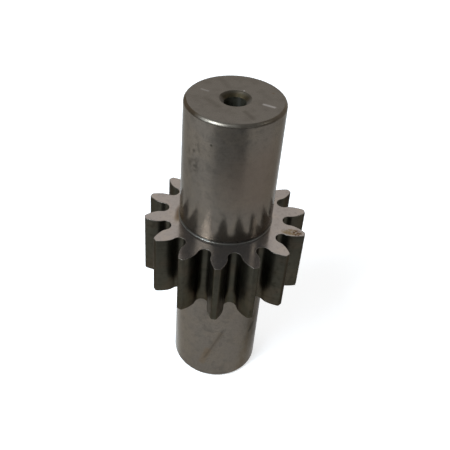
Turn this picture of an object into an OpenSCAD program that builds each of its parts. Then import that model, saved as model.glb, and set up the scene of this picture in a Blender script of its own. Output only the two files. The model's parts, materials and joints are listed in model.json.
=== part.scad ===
// Gear with integral shaft: a straight toothed gear between two plain journals, made in one piece.
// The origin is the centre of the lower end face, and +Z runs along the shaft.

/* [Journals] */
// Diameter of both journals
journal_d = 46; // [38:0.5:52]
// Length of the lower journal, from the lower end to the gear
lower_journal_len = 66.5; // [20:0.5:150]
// Length of the upper journal, from the gear to the upper end
upper_journal_len = 65.5; // [20:0.5:150]
// Bevel round the free end of each journal
end_bevel = 1.3; // [0.3:0.1:3]

/* [Relief next to the gear] */
// Width of the relief in each journal, along the shaft
relief_width = 1.5; // [1.4:0.1:4]
// Depth of the relief below the journal's surface
relief_depth = 0.25; // [0.05:0.05:0.4]
// Radius between the relief and the gear's side face
corner_r = 0.6; // [0.3:0.1:0.8]

/* [Teeth] */
// Number of teeth
teeth = 14; // [13:1:24]
// Module: the pitch diameter of the gear for each tooth
gear_module = 5; // [4.75:0.05:7]
// Pressure angle of the flanks, in degrees
pressure_angle = 20; // [14.5:0.5:22.5]
// Height of a tooth above the pitch circle
addendum = 5.25; // [3:0.05:5.5]
// Depth of a tooth space below the pitch circle
dedendum = 6.5; // [4:0.05:6.5]
// Width taken off each tooth at the pitch circle, for play between mating teeth
backlash = 0.3; // [0:0.05:1]
// Width of the face, along the shaft
face_width = 33.5; // [10:0.5:80]
// Break of the sharp edges at a tooth tip
tip_break = 0.4; // [0.1:0.05:0.6]

/* [Bore] */
// Diameter of the bore through the shaft
bore_d = 10; // [4:0.5:20]
// Diameter of the countersink at each end face
countersink_d = 14.5; // [10.5:0.5:30]
// Depth of each countersink
countersink_depth = 2.2; // [0.5:0.1:8]

/* [Hidden] */
$fn = 128;
// How far one solid reaches into the next, or a cutter past a face
lap = 1;
// Stretches along a flank, along half a root round and along a relief's corner
flank_steps = 10;
root_steps = 8;
corner_steps = 6;
// Passes in which the size of a root round settles
round_passes = 30;
steel = [0.42, 0.39, 0.35];

// Heights of the gear's side faces and of the upper end
gear_bottom = lower_journal_len;
gear_top = gear_bottom + face_width;
total_len = gear_top + upper_journal_len;
journal_r = journal_d / 2;

// Circles of the gear
pitch_r = gear_module * teeth / 2;
base_r = pitch_r * cos(pressure_angle);
tip_r = pitch_r + addendum;
root_r = pitch_r - dedendum;

// Angles are measured at the gear's centre, in degrees
function involute(angle) = tan(angle) * 180 / PI - angle;
function rolled(r) = involute(acos(min(1, base_r / r)));

// Half the angle of a tooth: at the pitch circle, at the base circle and at any radius
pitch_half = (gear_module * PI / 2 - backlash) / pitch_r * 90 / PI;
base_half = pitch_half + involute(pressure_angle);
function tooth_half(r) = base_half - rolled(r);

// Half the angle of a space at the base circle
space_half = 180 / teeth - base_half;

// A space ends in one round, which touches both flanks and the root circle.
// Below the base circle a flank is radial, and the round follows from the right triangle there.
radial_round_r = root_r * sin(space_half) / (1 - sin(space_half));
radial_touch_r = (root_r + radial_round_r) * cos(space_half);
touches_radial = radial_touch_r <= base_r;

// Above it the round's radius is the distance between two involutes, found in a few passes
function involute_round(r, passes) =
    passes == 0 ? r
    : involute_round(base_r * (space_half + rolled(root_r + r)) * PI / 180, passes - 1);
round_r = touches_radial ? radial_round_r : involute_round(radial_round_r, round_passes);
round_centre = root_r + round_r;

// Where the round touches a flank: its angle about the round's centre, from the way to the shaft
touch_angle = touches_radial ? 90 - space_half : 90 - acos(base_r / round_centre);
touch_x = round_centre - round_r * cos(touch_angle);
touch_y = round_r * sin(touch_angle);
touch_r = norm([touch_x, touch_y]);

function polar(r, angle) = [r * cos(angle), r * sin(angle)];

// One side of a tooth that points along +X, from the space's round to the tip
flank_start = max(touch_r, base_r);
flank_end = tip_r - tip_break;
function half_tooth() = [
    for (i = [0 : root_steps])
        let (
            turn = touch_angle * i / root_steps,
            x = round_centre - round_r * cos(turn),
            y = round_r * sin(turn)
        )
        polar(norm([x, y]), 180 / teeth - atan2(y, x)),
    for (i = [touches_radial ? 0 : 1 : flank_steps])
        let (r = flank_start + (flank_end - flank_start) * i / flank_steps)
        polar(r, tooth_half(r)),
    polar(tip_r, tooth_half(tip_r) - tip_break / tip_r * 180 / PI)
];

// The other side, without its first point, which the tooth before it ends with
function other_side(points) = [for (i = [1 : len(points) - 1]) [points[i].x, -points[i].y]];
function reversed(points) = [for (i = [len(points) - 1 : -1 : 0]) points[i]];

function turned(points, angle) = [
    for (p = points) [p.x * cos(angle) - p.y * sin(angle), p.x * sin(angle) + p.y * cos(angle)]
];

// Half the shaft's section next to the gear, outwards from the face: corner, relief, then journal
function journal_section(length) = [
    for (i = [0 : corner_steps])
        let (turn = 90 * i / corner_steps)
        [journal_r - relief_depth + corner_r * (1 - sin(turn)), corner_r * (1 - cos(turn))],
    [journal_r - relief_depth, relief_width - relief_depth],
    [journal_r, relief_width],
    [journal_r, length - end_bevel],
    [journal_r - end_bevel, length]
];

module journal(length) {
    rotate_extrude()
        polygon(concat(
            [[0, -lap], [journal_r, -lap]],
            journal_section(length),
            [[0, length]]
        ));
}

// The teeth, with one tooth pointing along -Y
module toothed_disc() {
    side = half_tooth();
    tooth = concat(other_side(side), reversed(side));
    outline = [for (i = [0 : teeth - 1]) each turned(tooth, i * 360 / teeth - 90)];
    linear_extrude(face_width) polygon(outline);
}

module bore() {
    translate([0, 0, -lap]) cylinder(d = bore_d, h = total_len + 2 * lap);
    countersink(0, 1);
    countersink(total_len, -1);
}

module countersink(height, way) {
    angle = way > 0 ? 0 : 180;
    translate([0, 0, height]) rotate([angle, 0, 0])
        cylinder(d1 = countersink_d, d2 = bore_d, h = countersink_depth);
}

module gear_shaft() {
    color(steel)
        difference() {
            union() {
                translate([0, 0, gear_bottom]) toothed_disc();
                translate([0, 0, gear_top]) journal(upper_journal_len);
                translate([0, 0, gear_bottom]) mirror([0, 0, 1]) journal(lower_journal_len);
            }
            bore();
        }
}

gear_shaft();
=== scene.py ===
"""A gear with integral shaft, standing on its end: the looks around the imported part."""

import json
import math

import bmesh
import bpy
from mathutils import Euler, Matrix, Vector


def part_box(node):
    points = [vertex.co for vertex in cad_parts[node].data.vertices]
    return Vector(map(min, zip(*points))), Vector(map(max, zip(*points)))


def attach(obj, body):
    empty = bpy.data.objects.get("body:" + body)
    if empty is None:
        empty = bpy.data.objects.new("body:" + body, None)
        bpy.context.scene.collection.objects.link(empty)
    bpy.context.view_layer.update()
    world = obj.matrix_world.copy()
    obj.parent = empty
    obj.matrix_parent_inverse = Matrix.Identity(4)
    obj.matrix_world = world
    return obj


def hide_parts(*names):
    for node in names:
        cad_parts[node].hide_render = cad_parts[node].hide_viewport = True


MM = 0.001

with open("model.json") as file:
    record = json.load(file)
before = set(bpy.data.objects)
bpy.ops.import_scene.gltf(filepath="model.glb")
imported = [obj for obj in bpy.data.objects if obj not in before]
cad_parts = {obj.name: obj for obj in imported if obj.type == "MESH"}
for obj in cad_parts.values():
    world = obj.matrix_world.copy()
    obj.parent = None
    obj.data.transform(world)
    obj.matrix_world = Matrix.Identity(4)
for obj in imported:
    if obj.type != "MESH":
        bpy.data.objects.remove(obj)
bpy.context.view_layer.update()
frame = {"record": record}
mounts = {mount["name"]: mount for mount in frame["record"]["mounts"]}

# Sizes that the frame gives, in metres
SHAFT_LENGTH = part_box("gear_shaft")[1].z
JOURNAL_R = mounts["upper_journal"]["dims"]["r_mm"] * MM
BORE_R = mounts["bore"]["dims"]["r_mm"] * MM
PITCH_R = mounts["teeth"]["dims"]["pcd_mm"] / 2 * MM
TEETH = mounts["teeth"]["dims"]["count"]
GEAR_BOTTOM = mounts["lower_side_face"]["pos_m"][2]
GEAR_TOP = mounts["upper_side_face"]["pos_m"][2]

# Sizes of the forms that the mounts don't state, in metres
END_BEVEL = 1.3 * MM
RELIEF_WIDTH = 1.5 * MM
RELIEF_DEPTH = 0.25 * MM
CORNER_R = 0.6 * MM
COUNTERSINK_R = 7.25 * MM
COUNTERSINK_DEPTH = 2.2 * MM
ADDENDUM = 5.25 * MM
DEDENDUM = 6.5 * MM
BACKLASH = 0.3 * MM
PRESSURE_ANGLE = math.radians(20)

# How far each round reaches from its edge, in metres, and the most of a side that it may take up
TIP_ROUND = 0.45 * MM
EDGE_ROUND = 0.2 * MM
BEVEL_ROUND = 0.7 * MM
RIM_ROUND = 0.6 * MM
ROUND_SHARE = 0.45

# How finely the round forms are cut
TURNS = 280
ROOT_STEPS = 14
FLANK_STEPS = 18
TIP_STEPS = 4
CORNER_STEPS = 10
EDGE_STEPS = 4


# Section of the shaft

def softened(corners):
    """A polyline with its inner corners rounded; each corner is (r, z, part after it, reach of the round)."""
    points = [corners[0][:3]]
    for before, here, after in zip(corners, corners[1:], corners[2:]):
        a, b, c = (Vector(corner[:2]) for corner in (before, here, after))
        to_a, to_c = (a - b).normalized(), (c - b).normalized()
        reach = min(here[3], (a - b).length * ROUND_SHARE, (c - b).length * ROUND_SHARE)
        for i in range(EDGE_STEPS + 1):
            t = i / EDGE_STEPS
            p = b + to_a * reach * (1 - t) ** 2 + to_c * reach * t ** 2
            points.append((p.x, p.y, before[2] if t < 0.5 else here[2]))
    return points + [corners[-1][:3]]


def journal_section(length):
    """From the gear's side face outwards to the bore, as (radius, distance from the face, part)."""
    floor_r = JOURNAL_R - RELIEF_DEPTH
    section = []
    for i in range(CORNER_STEPS + 1):
        turn = math.pi / 2 * i / CORNER_STEPS
        section.append((floor_r + CORNER_R * (1 - math.sin(turn)), CORNER_R * (1 - math.cos(turn)), "relief"))
    ends = [
        (floor_r, RELIEF_WIDTH - RELIEF_DEPTH, "relief", 0),
        (JOURNAL_R, RELIEF_WIDTH, "journal", EDGE_ROUND),
        (JOURNAL_R, length - END_BEVEL, "bevel", BEVEL_ROUND),
        (JOURNAL_R - END_BEVEL, length, "end", BEVEL_ROUND),
        (COUNTERSINK_R, length, "countersink", RIM_ROUND),
        (BORE_R, length - COUNTERSINK_DEPTH, "bore", EDGE_ROUND),
        (BORE_R, length / 2, "bore", 0),
    ]
    return section + softened(ends)


def shaft_section():
    """The whole section, from the gear's lower face round the outside and the bore to its upper face."""
    lower = [(r, GEAR_BOTTOM - z, part) for r, z, part in journal_section(GEAR_BOTTOM)]
    upper = [(r, GEAR_TOP + z, part) for r, z, part in journal_section(SHAFT_LENGTH - GEAR_TOP)]
    # Walked backwards, each stretch is named by the point that it then starts from
    back = [(*upper[i][:2], upper[max(i - 1, 0)][2]) for i in range(len(upper) - 1, -1, -1)]
    return lower + back


# Outline of the teeth

def polar(r, angle):
    return Vector((r * math.cos(angle), r * math.sin(angle)))


def involute(angle):
    return math.tan(angle) - angle


def half_tooth():
    """One side of a tooth that points along +X, from the middle of the space to the tip."""
    base_r = PITCH_R * math.cos(PRESSURE_ANGLE)
    tip_r, root_r = PITCH_R + ADDENDUM, PITCH_R - DEDENDUM
    base_half = (math.pi * PITCH_R / TEETH - BACKLASH) / (2 * PITCH_R) + involute(PRESSURE_ANGLE)
    space_half = math.pi / TEETH - base_half
    round_r = root_r * math.sin(space_half) / (1 - math.sin(space_half))
    centre = root_r + round_r
    points = []
    for i in range(ROOT_STEPS + 1):
        turn = (math.pi / 2 - space_half) * i / ROOT_STEPS
        x, y = centre - round_r * math.cos(turn), round_r * math.sin(turn)
        points.append(polar(math.hypot(x, y), math.pi / TEETH - math.atan2(y, x)))

    def flank(r):
        return polar(r, base_half - involute(math.acos(base_r / r)))

    for i in range(FLANK_STEPS + 1):
        points.append(flank(base_r + (tip_r - TIP_ROUND - base_r) * i / FLANK_STEPS))
    corner = flank(tip_r)
    end = polar(tip_r, math.atan2(corner.y, corner.x) - TIP_ROUND / tip_r)
    start = points[-1]
    for i in range(1, TIP_STEPS + 1):
        t = i / TIP_STEPS
        points.append(start * (1 - t) ** 2 + corner * 2 * t * (1 - t) + end * t ** 2)
    return points


def gear_outline():
    """All teeth, anticlockwise from above, with one tooth pointing along -Y."""
    side = half_tooth()
    tooth = [Vector((p.x, -p.y)) for p in side[1:]] + side[::-1]
    outline = []
    for i in range(TEETH):
        turn = Matrix.Rotation(2 * math.pi * i / TEETH - math.pi / 2, 2)
        outline += [turn @ p for p in tooth]
    return outline


def inset(outline, depth):
    """The outline moved into the teeth by the same depth all round."""
    moved = []
    for i, p in enumerate(outline):
        onward = (outline[(i + 1) % len(outline)] - outline[i - 1]).normalized()
        moved.append(p + Vector((-onward.y, onward.x)) * depth)
    return moved


# Mesh of the part

PARTS = ["journal", "relief", "bevel", "end", "countersink", "bore", "side", "edge", "flank"]

# Pairs of parts that run into each other without an edge
SMOOTH_PAIRS = [{"journal", "bevel"}, {"bevel", "end"}, {"end", "countersink"}, {"edge", "flank"}]


def strip(mesh, ring_a, ring_b, part):
    """A band of faces between two rings of as many points."""
    count = len(ring_a)
    for i in range(count):
        j = (i + 1) % count
        face = mesh.faces.new((ring_a[i], ring_a[j], ring_b[j], ring_b[i]))
        face.material_index = PARTS.index(part)
        face.smooth = True


def ring(mesh, points, z):
    return [mesh.verts.new((p.x, p.y, z)) for p in points]


def add_shaft(mesh):
    """The turned surface; returns its open rings at the gear's lower and upper faces."""
    section = shaft_section()
    circle = [polar(1, 2 * math.pi * i / TURNS) for i in range(TURNS)]
    rings = [ring(mesh, [p * r for p in circle], z) for r, z, _ in section]
    for i in range(len(rings) - 1):
        strip(mesh, rings[i + 1], rings[i], section[i][2])
    return rings[0], rings[-1]


def add_teeth(mesh):
    """The toothed wall with its rounded edges; returns the outline's rings at the two faces."""
    outline = gear_outline()
    levels = []
    for i in range(EDGE_STEPS + 1):
        turn = math.pi / 2 * i / EDGE_STEPS
        levels.append((EDGE_ROUND * (1 - math.cos(turn)), EDGE_ROUND * (1 - math.sin(turn))))
    lower = [ring(mesh, inset(outline, away), GEAR_BOTTOM + up) for up, away in levels]
    upper = [ring(mesh, inset(outline, away), GEAR_TOP - up) for up, away in reversed(levels)]
    rings = lower + upper
    for i in range(len(rings) - 1):
        strip(mesh, rings[i], rings[i + 1], "flank" if i == EDGE_STEPS else "edge")
    return rings[0], rings[-1]


def fill_side(mesh, inner, outer):
    """The flat side face between the shaft's ring and the outline of the teeth."""
    edges = []
    for loop in (inner, outer):
        for i, vert in enumerate(loop):
            edges.append(mesh.edges.get((vert, loop[(i + 1) % len(loop)])))
    made = bmesh.ops.triangle_fill(mesh, edges=edges, use_beauty=True)
    for face in made["geom"]:
        if isinstance(face, bmesh.types.BMFace):
            face.material_index = PARTS.index("side")
            face.smooth = False


def build_gear_shaft(materials):
    """The visible piece, which stands for the solid in the render."""
    mesh = bmesh.new()
    shaft_low, shaft_high = add_shaft(mesh)
    teeth_low, teeth_high = add_teeth(mesh)
    fill_side(mesh, shaft_low, teeth_low)
    fill_side(mesh, shaft_high, teeth_high)
    bmesh.ops.recalc_face_normals(mesh, faces=mesh.faces)
    for edge in mesh.edges:
        pair = {PARTS[face.material_index] for face in edge.link_faces}
        edge.smooth = len(pair) == 1 or pair in SMOOTH_PAIRS
    data = bpy.data.meshes.new("gear_shaft_ground")
    mesh.to_mesh(data)
    mesh.free()
    for part in PARTS:
        data.materials.append(materials[part])
    piece = bpy.data.objects.new("gear_shaft_ground", data)
    bpy.context.scene.collection.objects.link(piece)
    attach(piece, "root")
    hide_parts("gear_shaft")


# Nodes for the materials

# Sockets of the Mix node when it mixes colours
MIX_AMOUNT, MIX_UNDER, MIX_OVER, MIX_RESULT = 0, 6, 7, 2


def add(tree, kind, **settings):
    node = tree.nodes.new(kind)
    for name, value in settings.items():
        setattr(node, name, value)
    return node


def feed(tree, socket, value):
    """Links another node's output to a socket, or writes a plain value on it."""
    if isinstance(value, bpy.types.NodeSocket):
        tree.links.new(value, socket)
    else:
        socket.default_value = value


def vectors(tree, operation, *values):
    node = add(tree, "ShaderNodeVectorMath", operation=operation)
    for socket, value in zip(node.inputs, values):
        feed(tree, socket, value)
    return node


def maths(tree, operation, *values):
    node = add(tree, "ShaderNodeMath", operation=operation)
    for socket, value in zip(node.inputs, values):
        feed(tree, socket, value)
    return node.outputs[0]


def times(tree, a, b):
    return maths(tree, "MULTIPLY", a, b)


def plus(tree, a, b):
    return maths(tree, "ADD", a, b)


def fade(tree, value, low, high, at_low=0.0, at_high=1.0):
    """A smooth step of a value: at_low up to low, at_high from high on."""
    node = add(tree, "ShaderNodeMapRange", interpolation_type="SMOOTHSTEP")
    feed(tree, node.inputs["Value"], value)
    for name, number in (("From Min", low), ("From Max", high), ("To Min", at_low), ("To Max", at_high)):
        node.inputs[name].default_value = number
    return node.outputs["Result"]


def seen_directly(tree):
    """1 for what the camera sees, also through clear things, and 0 for reflections and light on things."""
    path = add(tree, "ShaderNodeLightPath")
    return maths(tree, "MAXIMUM", path.outputs["Is Camera Ray"], path.outputs["Is Transmission Ray"])


# Patterns, placed in the part's own frame in metres

# How many straight stretches make a line on a journal
TRAIL_STRETCHES = 4

# Between these two lies most of a noise
NOISE_LOW, NOISE_HIGH = 0.3, 0.7


def place(tree):
    return add(tree, "ShaderNodeTexCoord").outputs["Object"]


def coordinate(tree, axis):
    parts = add(tree, "ShaderNodeSeparateXYZ")
    feed(tree, parts.inputs[0], place(tree))
    return parts.outputs[axis]


def noise(tree, grain, detail=3.0, stretch=(1, 1, 1)):
    """Noise round 0.5 with grains of the given size, drawn out along the axes by stretch."""
    spread = vectors(tree, "MULTIPLY", place(tree), tuple(1 / (grain * s) for s in stretch))
    node = add(tree, "ShaderNodeTexNoise")
    node.inputs["Scale"].default_value = 1.0
    node.inputs["Detail"].default_value = detail
    feed(tree, node.inputs["Vector"], spread.outputs[0])
    return node.outputs["Fac"]


def patches(tree, grain, low, high, detail=3.0, stretch=(1, 1, 1)):
    """0 where the noise is under low, and 1 where it is over high."""
    return fade(tree, noise(tree, grain, detail, stretch), low, high)


def spot(tree, centre, reach, soft, stretch=(1, 1, 1)):
    """1 round a point, falling to 0 between reach and reach + soft; stretch draws it out along the axes."""
    away = vectors(tree, "SUBTRACT", place(tree), tuple(centre)).outputs[0]
    away = vectors(tree, "MULTIPLY", away, tuple(1 / s for s in stretch)).outputs[0]
    distance = vectors(tree, "LENGTH", away).outputs["Value"]
    return fade(tree, distance, reach, reach + soft, 1.0, 0.0)


def line(tree, start, end, half_width, soft):
    """1 along the straight line between two points, falling to 0 beside it."""
    onward = (end - start).normalized()
    away = vectors(tree, "SUBTRACT", place(tree), tuple(start)).outputs[0]
    travel = vectors(tree, "DOT_PRODUCT", away, tuple(onward)).outputs["Value"]
    travel = maths(tree, "MINIMUM", maths(tree, "MAXIMUM", travel, 0.0), (end - start).length)
    nearest = vectors(tree, "SCALE", tuple(onward))
    feed(tree, nearest.inputs["Scale"], travel)
    beside = vectors(tree, "SUBTRACT", away, nearest.outputs[0]).outputs[0]
    distance = vectors(tree, "LENGTH", beside).outputs["Value"]
    return fade(tree, distance, half_width, half_width + soft, 1.0, 0.0)


def trail(tree, start, end, half_width, soft):
    """1 along a line on a journal; start and end are (azimuth, height) as on_shaft takes them."""
    points = []
    for i in range(TRAIL_STRETCHES + 1):
        azimuth, height = (a + (b - a) * i / TRAIL_STRETCHES for a, b in zip(start, end))
        points.append(on_shaft(azimuth, height))
    result = 0.0
    for a, b in zip(points, points[1:]):
        result = maths(tree, "MAXIMUM", line(tree, a, b, half_width, soft), result)
    return result


def on_shaft(azimuth, height):
    """A point on a journal; the azimuth is anticlockwise from +X in degrees, the height in millimetres."""
    return Vector((*polar(JOURNAL_R, math.radians(azimuth)), height * MM))


def point(x, y, z):
    """A point from x and y in millimetres and the height z in metres."""
    return Vector((x * MM, y * MM, z))


# Colours of the steel, of what lies on it, of painted shade and painted reflections, and of its grazing
# reflections

DARK = (0.008, 0.007, 0.004)
BROWN = (0.085, 0.055, 0.028)
BROWN_DARK = (0.046, 0.031, 0.017)
BROWN_STAIN = (0.135, 0.096, 0.046)
OLIVE = (0.024, 0.021, 0.011)
PALE = (0.45, 0.42, 0.40)
RUST = (0.155, 0.108, 0.050)
RUST_DARK = (0.062, 0.028, 0.010)
JOURNAL_COLOUR = (0.087, 0.073, 0.0595)
JOURNAL_WARM = (0.095, 0.078, 0.061)
JOURNAL_COOL = (0.063, 0.054, 0.0445)
JOURNAL_BROWN = (0.092, 0.067, 0.050)
JOURNAL_SHADE = (0.022, 0.018, 0.013)
RELIEF_COLOUR = (0.105, 0.097, 0.085)
BEVEL_COLOUR = (0.128, 0.109, 0.088)
END_COLOUR = (0.122, 0.106, 0.090)
END_DARK = (0.077, 0.066, 0.054)
COUNTERSINK_COLOUR = (0.037, 0.027, 0.015)
BORE_COLOUR = (0.078, 0.072, 0.052)
SIDE_COLOUR = (0.29, 0.255, 0.232)
SIDE_WARM = (0.34, 0.285, 0.238)
SIDE_DULL = (0.20, 0.172, 0.155)
EDGE_COLOUR = (0.108, 0.094, 0.080)
FLANK_COLOUR = (0.030, 0.027, 0.020)
FLANK_WARM = (0.039, 0.031, 0.022)
TINT_COLOUR = (1, 0.95, 0.88)


# Materials, one for each part of the surface

def steel(name, metallic, specular=0.3, tint=0.5):
    """A metal whose grazing reflections have a warm tint of the given strength."""
    material = bpy.data.materials.new(name)
    material.use_nodes = True
    shader = material.node_tree.nodes["Principled BSDF"]
    shader.inputs["Metallic"].default_value = metallic
    shader.inputs["Specular IOR Level"].default_value = specular
    shader.inputs["Specular Tint"].default_value = (*(tint * part for part in TINT_COLOUR), 1)
    return material, material.node_tree, shader


def paint(tree, shader, colour, layers):
    """Colours the surface, with others laid over it in turn; each layer is (where, colour, how strong)."""
    result = (*colour, 1)
    for where, over, strength in layers:
        node = add(tree, "ShaderNodeMix", data_type="RGBA")
        feed(tree, node.inputs[MIX_AMOUNT], times(tree, where, strength))
        feed(tree, node.inputs[MIX_UNDER], result)
        feed(tree, node.inputs[MIX_OVER], (*over, 1))
        result = node.outputs[MIX_RESULT]
    feed(tree, shader.inputs["Base Color"], result)


def roughen(tree, shader, grain, low, high):
    """Lets the roughness wander from low to high, in patches of one grain."""
    roughness = fade(tree, noise(tree, grain), NOISE_LOW, NOISE_HIGH, low, high)
    feed(tree, shader.inputs["Roughness"], roughness)


def uneven(tree, shader, height, depth):
    """Raises the surface by a pattern, with depth in metres."""
    bump = add(tree, "ShaderNodeBump")
    bump.inputs["Strength"].default_value = 1.0
    bump.inputs["Distance"].default_value = depth
    feed(tree, bump.inputs["Height"], height)
    tree.links.new(bump.outputs["Normal"], shader.inputs["Normal"])


def shaft_lines(tree):
    """Fine tool lines that run round the shaft."""
    return noise(tree, 0.3 * MM, 2.0, (60, 60, 1))


def flank_lines(tree):
    """Fine level tool lines on the flanks."""
    return noise(tree, 0.4 * MM, 2.0, (40, 40, 1))


def journal_layers(tree):
    return [
        (patches(tree, 11 * MM, 0.42, 0.62), JOURNAL_WARM, 0.8),
        (patches(tree, 4 * MM, 0.48, 0.72, 4.0), JOURNAL_COOL, 0.7),
        (patches(tree, 1.3 * MM, 0.45, 0.75), JOURNAL_SHADE, 0.22),
        (fade(tree, shaft_lines(tree), 0.45, 0.75), JOURNAL_SHADE, 0.1),
    ]


def upper_journal_marks(tree):
    """A faint brown area, smudges, a dark dot and the stain at the foot."""
    smudges = spot(tree, on_shaft(-133, 145), 3.5 * MM, 4.0 * MM, (0.7, 0.7, 2))
    broken = patches(tree, 3 * MM, 0.42, 0.7, 2.5)
    stain = spot(tree, on_shaft(-163, 106), 2.5 * MM, 5 * MM, (1, 1, 1.6))
    patchy = patches(tree, 2 * MM, 0.34, 0.56, 4.0)
    return [
        (spot(tree, on_shaft(-48, 135), 8 * MM, 18 * MM), JOURNAL_BROWN, 0.6),
        (times(tree, smudges, broken), JOURNAL_SHADE, 0.7),
        (spot(tree, on_shaft(-109.8, 153.8), 0.25 * MM, 0.6 * MM), DARK, 0.7),
        (times(tree, stain, patchy), BROWN_STAIN, 0.8),
    ]


def lower_journal_marks(tree):
    """A brown streak, a thin scratch with its brown edge, a dark brown band down the right, partly a stain
    and partly a painted reflection of shade, and a nick.
    """
    # Painted reflection of shade, partly a brown stain: the dark brown band down the right side
    stain_and_shade_band = trail(tree, (-27, 40), (-41, 5), 0.5 * MM, 7 * MM)
    band_patchiness = patches(tree, 3 * MM, 0.28, 0.6, 4.0, (1, 1, 3))
    return [
        (trail(tree, (-96, 22), (-103, 11), 0.6 * MM, 2.2 * MM), BROWN, 0.4),
        (trail(tree, (-77.4, 39), (-99.8, 15), 0.1 * MM, 0.8 * MM), JOURNAL_SHADE, 0.35),
        (trail(tree, (-80, 36), (-97, 18), 0.3 * MM, 2.4 * MM), BROWN_DARK, 0.25),
        (times(tree, stain_and_shade_band, band_patchiness), BROWN_DARK, 0.75),
        (trail(tree, (-29, 34.8), (-34.5, 31.4), 0.8 * MM, 1.0 * MM), DARK, 0.95),
    ]


def journal_material():
    material, tree, shader = steel("journal", 0.8)
    layers = journal_layers(tree) + upper_journal_marks(tree) + lower_journal_marks(tree)
    paint(tree, shader, JOURNAL_COLOUR, layers)
    roughen(tree, shader, 7 * MM, 0.19, 0.27)
    uneven(tree, shader, shaft_lines(tree), 0.0008 * MM)
    return material


def turned_layers(tree):
    """For the reliefs and bevels, which are turned and not ground."""
    return [
        (patches(tree, 4 * MM, 0.45, 0.65, 4.0), JOURNAL_WARM, 0.5),
        (fade(tree, shaft_lines(tree), 0.45, 0.75), JOURNAL_SHADE, 0.15),
    ]


def relief_material():
    material, tree, shader = steel("relief", 0.8)
    paint(tree, shader, RELIEF_COLOUR, turned_layers(tree))
    roughen(tree, shader, 3 * MM, 0.25, 0.35)
    return material


def bevel_material():
    """The upper bevel is browner on its left and on its right, partly grime and partly a painted dark
    reflection.
    """
    material, tree, shader = steel("bevel", 0.8)
    marks = [
        # Painted dark reflection, partly grime: the browner stretches on the left and the right of the bevel
        (spot(tree, on_shaft(-155, 165), 6 * MM, 7 * MM), BROWN_DARK, 0.85),
        (spot(tree, on_shaft(-33, 165), 7 * MM, 7 * MM), BROWN_DARK, 0.6),
    ]
    paint(tree, shader, BEVEL_COLOUR, turned_layers(tree) + marks)
    roughen(tree, shader, 3 * MM, 0.29, 0.39)
    return material


def scrape(tree, start, end, soft):
    """A straight mark on the upper end face, between two points in millimetres."""
    return line(tree, point(*start, SHAFT_LENGTH), point(*end, SHAFT_LENGTH), 0.1 * MM, soft)


def end_material():
    """Ground, with dark rubs, a brown spot, two pale scratches and a bright nick on the upper face."""
    material, tree, shader = steel("end", 0.8)
    layers = [
        (patches(tree, 5 * MM, 0.45, 0.7, 4.0), END_DARK, 0.35),
        (patches(tree, 0.5 * MM, 0.5, 0.75), END_DARK, 0.3),
        (scrape(tree, (4.9, -11.2), (8.6, -16.4), 1.8 * MM), END_DARK, 0.7),
        (scrape(tree, (-12.6, -2.7), (-6.5, -8.6), 2.4 * MM), END_DARK, 0.5),
        (scrape(tree, (-4.0, 9.5), (-8.0, 17.0), 2.4 * MM), END_DARK, 0.4),
        (spot(tree, point(16.2, 7.2, SHAFT_LENGTH), 0.2 * MM, 0.9 * MM), BROWN, 0.5),
        (scrape(tree, (-15.6, 5.6), (-12.6, 4.2), 0.9 * MM), PALE, 0.22),
        (scrape(tree, (12.6, -3.5), (17.0, -5.2), 1.1 * MM), PALE, 0.45),
        (spot(tree, point(3.3, 7.2, SHAFT_LENGTH), 0.15 * MM, 0.35 * MM), PALE, 0.8),
    ]
    paint(tree, shader, END_COLOUR, layers)
    roughen(tree, shader, 2 * MM, 0.26, 0.34)
    uneven(tree, shader, noise(tree, 0.4 * MM), 0.001 * MM)
    return material


def countersink_material():
    """Like the end face at the rim, and at the front in painted light; darker towards the bore and the back,
    as painted shade in the hollow.
    """
    material, tree, shader = steel("countersink", 0.85)
    # Painted light: the front of the countersink takes the end face's colour
    front = fade(tree, coordinate(tree, "Y"), -1 * MM, 3 * MM, 1.0, 0.0)
    across = vectors(tree, "MULTIPLY", place(tree), (1, 1, 0)).outputs[0]
    radius = vectors(tree, "LENGTH", across).outputs["Value"]
    # Painted shade: a dark base colour, which lightens only towards the rim and at the front
    layers = [
        (patches(tree, 1.5 * MM, 0.42, 0.65, 4.0), OLIVE, 0.6),
        (fade(tree, radius, COUNTERSINK_R - 1.5 * MM, COUNTERSINK_R), END_DARK, 0.5),
        (front, END_COLOUR, 0.9),
    ]
    paint(tree, shader, COUNTERSINK_COLOUR, layers)
    roughen(tree, shader, 1.5 * MM, 0.5, 0.6)
    return material


def bore_material():
    """Dark and oily, with one pale streak down the back, which is a painted reflection in the bore wall."""
    material, tree, shader = steel("bore", 0.7)
    top, foot = point(1.5, 4.8, SHAFT_LENGTH), point(1.5, 4.8, SHAFT_LENGTH / 2)
    layers = [
        (patches(tree, 2.5 * MM, 0.42, 0.65, 4.0), DARK, 0.6),
        # Painted reflection: the pale streak down the far wall of the bore
        (line(tree, top, foot, 0.2 * MM, 1.2 * MM), PALE, 0.09),
    ]
    paint(tree, shader, BORE_COLOUR, layers)
    roughen(tree, shader, 2.5 * MM, 0.3, 0.4)
    return material


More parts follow.
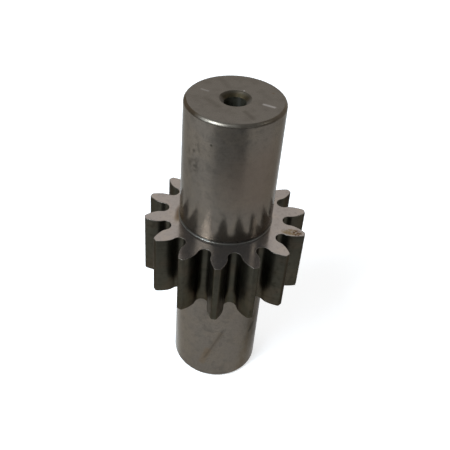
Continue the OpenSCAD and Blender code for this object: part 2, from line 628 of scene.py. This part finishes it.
def side_material():
    """Pale and smooth, with a patch of rust on one tooth and a stain beside the shaft."""
    material, tree, shader = steel("side", 0.93)
    rust = spot(tree, point(32.8, -8.4, GEAR_TOP), 2.4 * MM, 1.2 * MM, (1.6, 0.7, 1))
    grains = patches(tree, 1.8 * MM, 0.36, 0.54, 4.0)
    specks = spot(tree, point(35.4, -8.8, GEAR_TOP), 1.4 * MM, 1.8 * MM)
    dark_grains = patches(tree, 0.9 * MM, 0.45, 0.58)
    layers = [
        (patches(tree, 8 * MM, 0.45, 0.65), SIDE_WARM, 0.45),
        (patches(tree, 1.5 * MM, 0.5, 0.7, 4.0), SIDE_DULL, 0.4),
        (times(tree, rust, grains), RUST, 0.85),
        (times(tree, specks, dark_grains), RUST_DARK, 0.9),
        (spot(tree, point(-22.5, -7.5, GEAR_TOP), 0.6 * MM, 3 * MM), RUST, 0.5),
        (spot(tree, point(-23.2, -3.0, GEAR_TOP), 0.5 * MM, 1.8 * MM, (1, 4, 1)), BROWN, 0.8),
    ]
    paint(tree, shader, SIDE_COLOUR, layers)
    roughen(tree, shader, 3 * MM, 0.12, 0.2)
    uneven(tree, shader, noise(tree, 0.6 * MM), 0.001 * MM)
    return material


def edge_material():
    material, tree, shader = steel("edge", 0.8)
    paint(tree, shader, EDGE_COLOUR, [(patches(tree, 2 * MM, 0.42, 0.65, 4.0), JOURNAL_COLOUR, 0.6)])
    roughen(tree, shader, 2 * MM, 0.25, 0.35)
    return material


def flank_material():
    """Dark, with warmer and darker patches and fine level tool lines."""
    material, tree, shader = steel("flank", 0.9, specular=0.2, tint=0.4)
    layers = [
        (patches(tree, 9 * MM, 0.45, 0.65, 4.0), FLANK_WARM, 0.7),
        (patches(tree, 2 * MM, 0.5, 0.75, 4.0), DARK, 0.4),
        (fade(tree, flank_lines(tree), 0.45, 0.75), DARK, 0.3),
    ]
    paint(tree, shader, FLANK_COLOUR, layers)
    roughen(tree, shader, 4 * MM, 0.28, 0.4)
    uneven(tree, shader, flank_lines(tree), 0.002 * MM)
    return material


build_gear_shaft({
    "journal": journal_material(),
    "relief": relief_material(),
    "bevel": bevel_material(),
    "end": end_material(),
    "countersink": countersink_material(),
    "bore": bore_material(),
    "side": side_material(),
    "edge": edge_material(),
    "flank": flank_material(),
})


# Floor and world

# How strongly the floor glows: where the camera looks, then in gloss near the gear, far from it,
# far out to its sides, and in a pool in front of it on the left
FLOOR_GLOW = 0.55
GLOSS_NEAR = 0.70
GLOSS_FAR = 0.29
GLOSS_SIDES = 0.3
GLOSS_POOL = 0.35

# How much of that is held back in gloss: far in front of the gear, and in the shade on its right
FRONT_DIM = 0.66
SHADE_DIM = 0.75

# Where the pool and the shade lie on the floor, in metres
POOL_CENTRE = (-0.125, -0.12, 0)
SHADE_CENTRE = (0.062, 0.022, 0)

FLOOR_REACH = 3.0
FLOOR_COLOUR = 0.8

# How strongly the world glows in front of the gear and behind it
WORLD_FRONT = 0.22
WORLD_BACK = 1.0


def from_gear(tree):
    """The distance from the foot of the shaft."""
    return vectors(tree, "LENGTH", place(tree)).outputs["Value"]


def front_sector(tree):
    """1 on the floor far in front of the gear, where it is painted dimmer in gloss, as a painted dark
    reflection.
    """
    azimuth = maths(tree, "ARCTAN2", coordinate(tree, "Y"), coordinate(tree, "X"))
    left = fade(tree, azimuth, math.radians(-140), math.radians(-108))
    right = fade(tree, azimuth, math.radians(-64), math.radians(-46), 1.0, 0.0)
    return times(tree, times(tree, left, right), fade(tree, from_gear(tree), 0.15, 0.27))


def gloss_glow(tree):
    """How strongly the floor glows in gloss, apart from the front sector."""
    sides = fade(tree, maths(tree, "ABSOLUTE", coordinate(tree, "X")), 0.16, 0.28, 0.0, GLOSS_SIDES)
    glow = plus(tree, fade(tree, from_gear(tree), 0.10, 0.20, GLOSS_NEAR, GLOSS_FAR), sides)
    glow = plus(tree, glow, times(tree, spot(tree, POOL_CENTRE, 0.02, 0.05), GLOSS_POOL))
    shade = times(tree, spot(tree, SHADE_CENTRE, 0.025, 0.038), SHADE_DIM)
    return times(tree, glow, maths(tree, "SUBTRACT", 1.0, shade))


def floor_material():
    """White to the camera; in gloss, pale round the gear and dimmer far in front of it."""
    material = bpy.data.materials.new("floor")
    material.use_nodes = True
    tree = material.node_tree
    shader = tree.nodes["Principled BSDF"]
    shader.inputs["Roughness"].default_value = 0.9
    shader.inputs["Emission Color"].default_value = (1, 1, 1, 1)
    glossy = add(tree, "ShaderNodeLightPath").outputs["Is Glossy Ray"]
    dim = times(tree, times(tree, front_sector(tree), FRONT_DIM), glossy)
    kept = maths(tree, "SUBTRACT", 1.0, dim)
    feed(tree, shader.inputs["Base Color"], times(tree, kept, FLOOR_COLOUR))
    in_gloss = times(tree, times(tree, gloss_glow(tree), kept), glossy)
    in_view = times(tree, seen_directly(tree), FLOOR_GLOW)
    feed(tree, shader.inputs["Emission Strength"], maths(tree, "MAXIMUM", in_view, in_gloss))
    return material


def build_floor():
    data = bpy.data.meshes.new("floor")
    corners = [(x * FLOOR_REACH, y * FLOOR_REACH, 0) for x, y in ((-1, -1), (1, -1), (1, 1), (-1, 1))]
    data.from_pydata(corners, [], [(0, 1, 2, 3)])
    data.materials.append(floor_material())
    floor = bpy.data.objects.new("floor", data)
    bpy.context.scene.collection.objects.link(floor)


def build_world():
    """White for the camera and behind the gear, and dimmer in front of it."""
    world = bpy.data.worlds.new("studio")
    world.use_nodes = True
    tree = world.node_tree
    parts = add(tree, "ShaderNodeSeparateXYZ")
    feed(tree, parts.inputs[0], add(tree, "ShaderNodeTexCoord").outputs["Generated"])
    glow = fade(tree, parts.outputs["Y"], 0.0, 0.6, WORLD_FRONT, WORLD_BACK)
    background = tree.nodes["Background"]
    background.inputs["Color"].default_value = (1, 1, 1, 1)
    feed(tree, background.inputs["Strength"], maths(tree, "MAXIMUM", seen_directly(tree), glow))
    bpy.context.scene.world = world


# Lamps and camera

LAMP_COLOUR = (0.80, 0.91, 1.0)
WINDOW_COLOUR = (0.72, 0.86, 1.0)

# The picture's side, the camera's focal length and the point on its axis, in pixels
PHOTO_SIDE = 450
CAMERA_FOCAL = 640.94
CAMERA_AXIS = (168.8, 193.7)

# The camera's place, and its turns about X, Y and Z in degrees
CAMERA_PLACE = Vector((8.0, -249.58, 302.86)) * MM
CAMERA_TURNS = (52.427, -0.829, 9.015)
SENSOR_WIDTH = 36


def build_lamp(name, azimuth, elevation, distance, width, height, power, colour=LAMP_COLOUR):
    """A soft flat lamp that faces the gear; azimuth is anticlockwise from +X, in degrees."""
    lamp = bpy.data.lights.new(name, "AREA")
    lamp.shape = "RECTANGLE"
    lamp.size = width
    lamp.size_y = height
    lamp.energy = power
    lamp.color = colour
    side, up = math.radians(azimuth), math.radians(elevation)
    away = Vector((math.cos(side) * math.cos(up), math.sin(side) * math.cos(up), math.sin(up)))
    item = bpy.data.objects.new(name, lamp)
    item.location = Vector((0, 0, SHAFT_LENGTH / 2)) + away * distance
    item.rotation_euler = (-away).to_track_quat("-Z", "Y").to_euler()
    bpy.context.scene.collection.objects.link(item)


def build_camera():
    data = bpy.data.cameras.new("camera")
    data.sensor_width = SENSOR_WIDTH
    data.lens = CAMERA_FOCAL / PHOTO_SIDE * SENSOR_WIDTH
    data.shift_x = (PHOTO_SIDE / 2 - CAMERA_AXIS[0]) / PHOTO_SIDE
    data.shift_y = (CAMERA_AXIS[1] - PHOTO_SIDE / 2) / PHOTO_SIDE
    data.clip_start = 10 * MM
    camera = bpy.data.objects.new("camera", data)
    turn = Euler([math.radians(angle) for angle in CAMERA_TURNS])
    camera.matrix_world = Matrix.Translation(CAMERA_PLACE) @ turn.to_matrix().to_4x4()
    bpy.context.scene.collection.objects.link(camera)
    bpy.context.scene.camera = camera


build_floor()
build_world()
build_lamp("key", azimuth=-135, elevation=52, distance=0.9, width=0.15, height=0.15, power=5)
build_lamp(
    "left window", azimuth=-136, elevation=43, distance=1.0,
    width=0.55, height=0.45, power=7.5, colour=WINDOW_COLOUR,
)
build_lamp("right window", azimuth=-8, elevation=40, distance=0.9, width=0.05, height=0.05, power=0.5)
build_camera()
bpy.context.scene.view_settings.view_transform = "Standard"
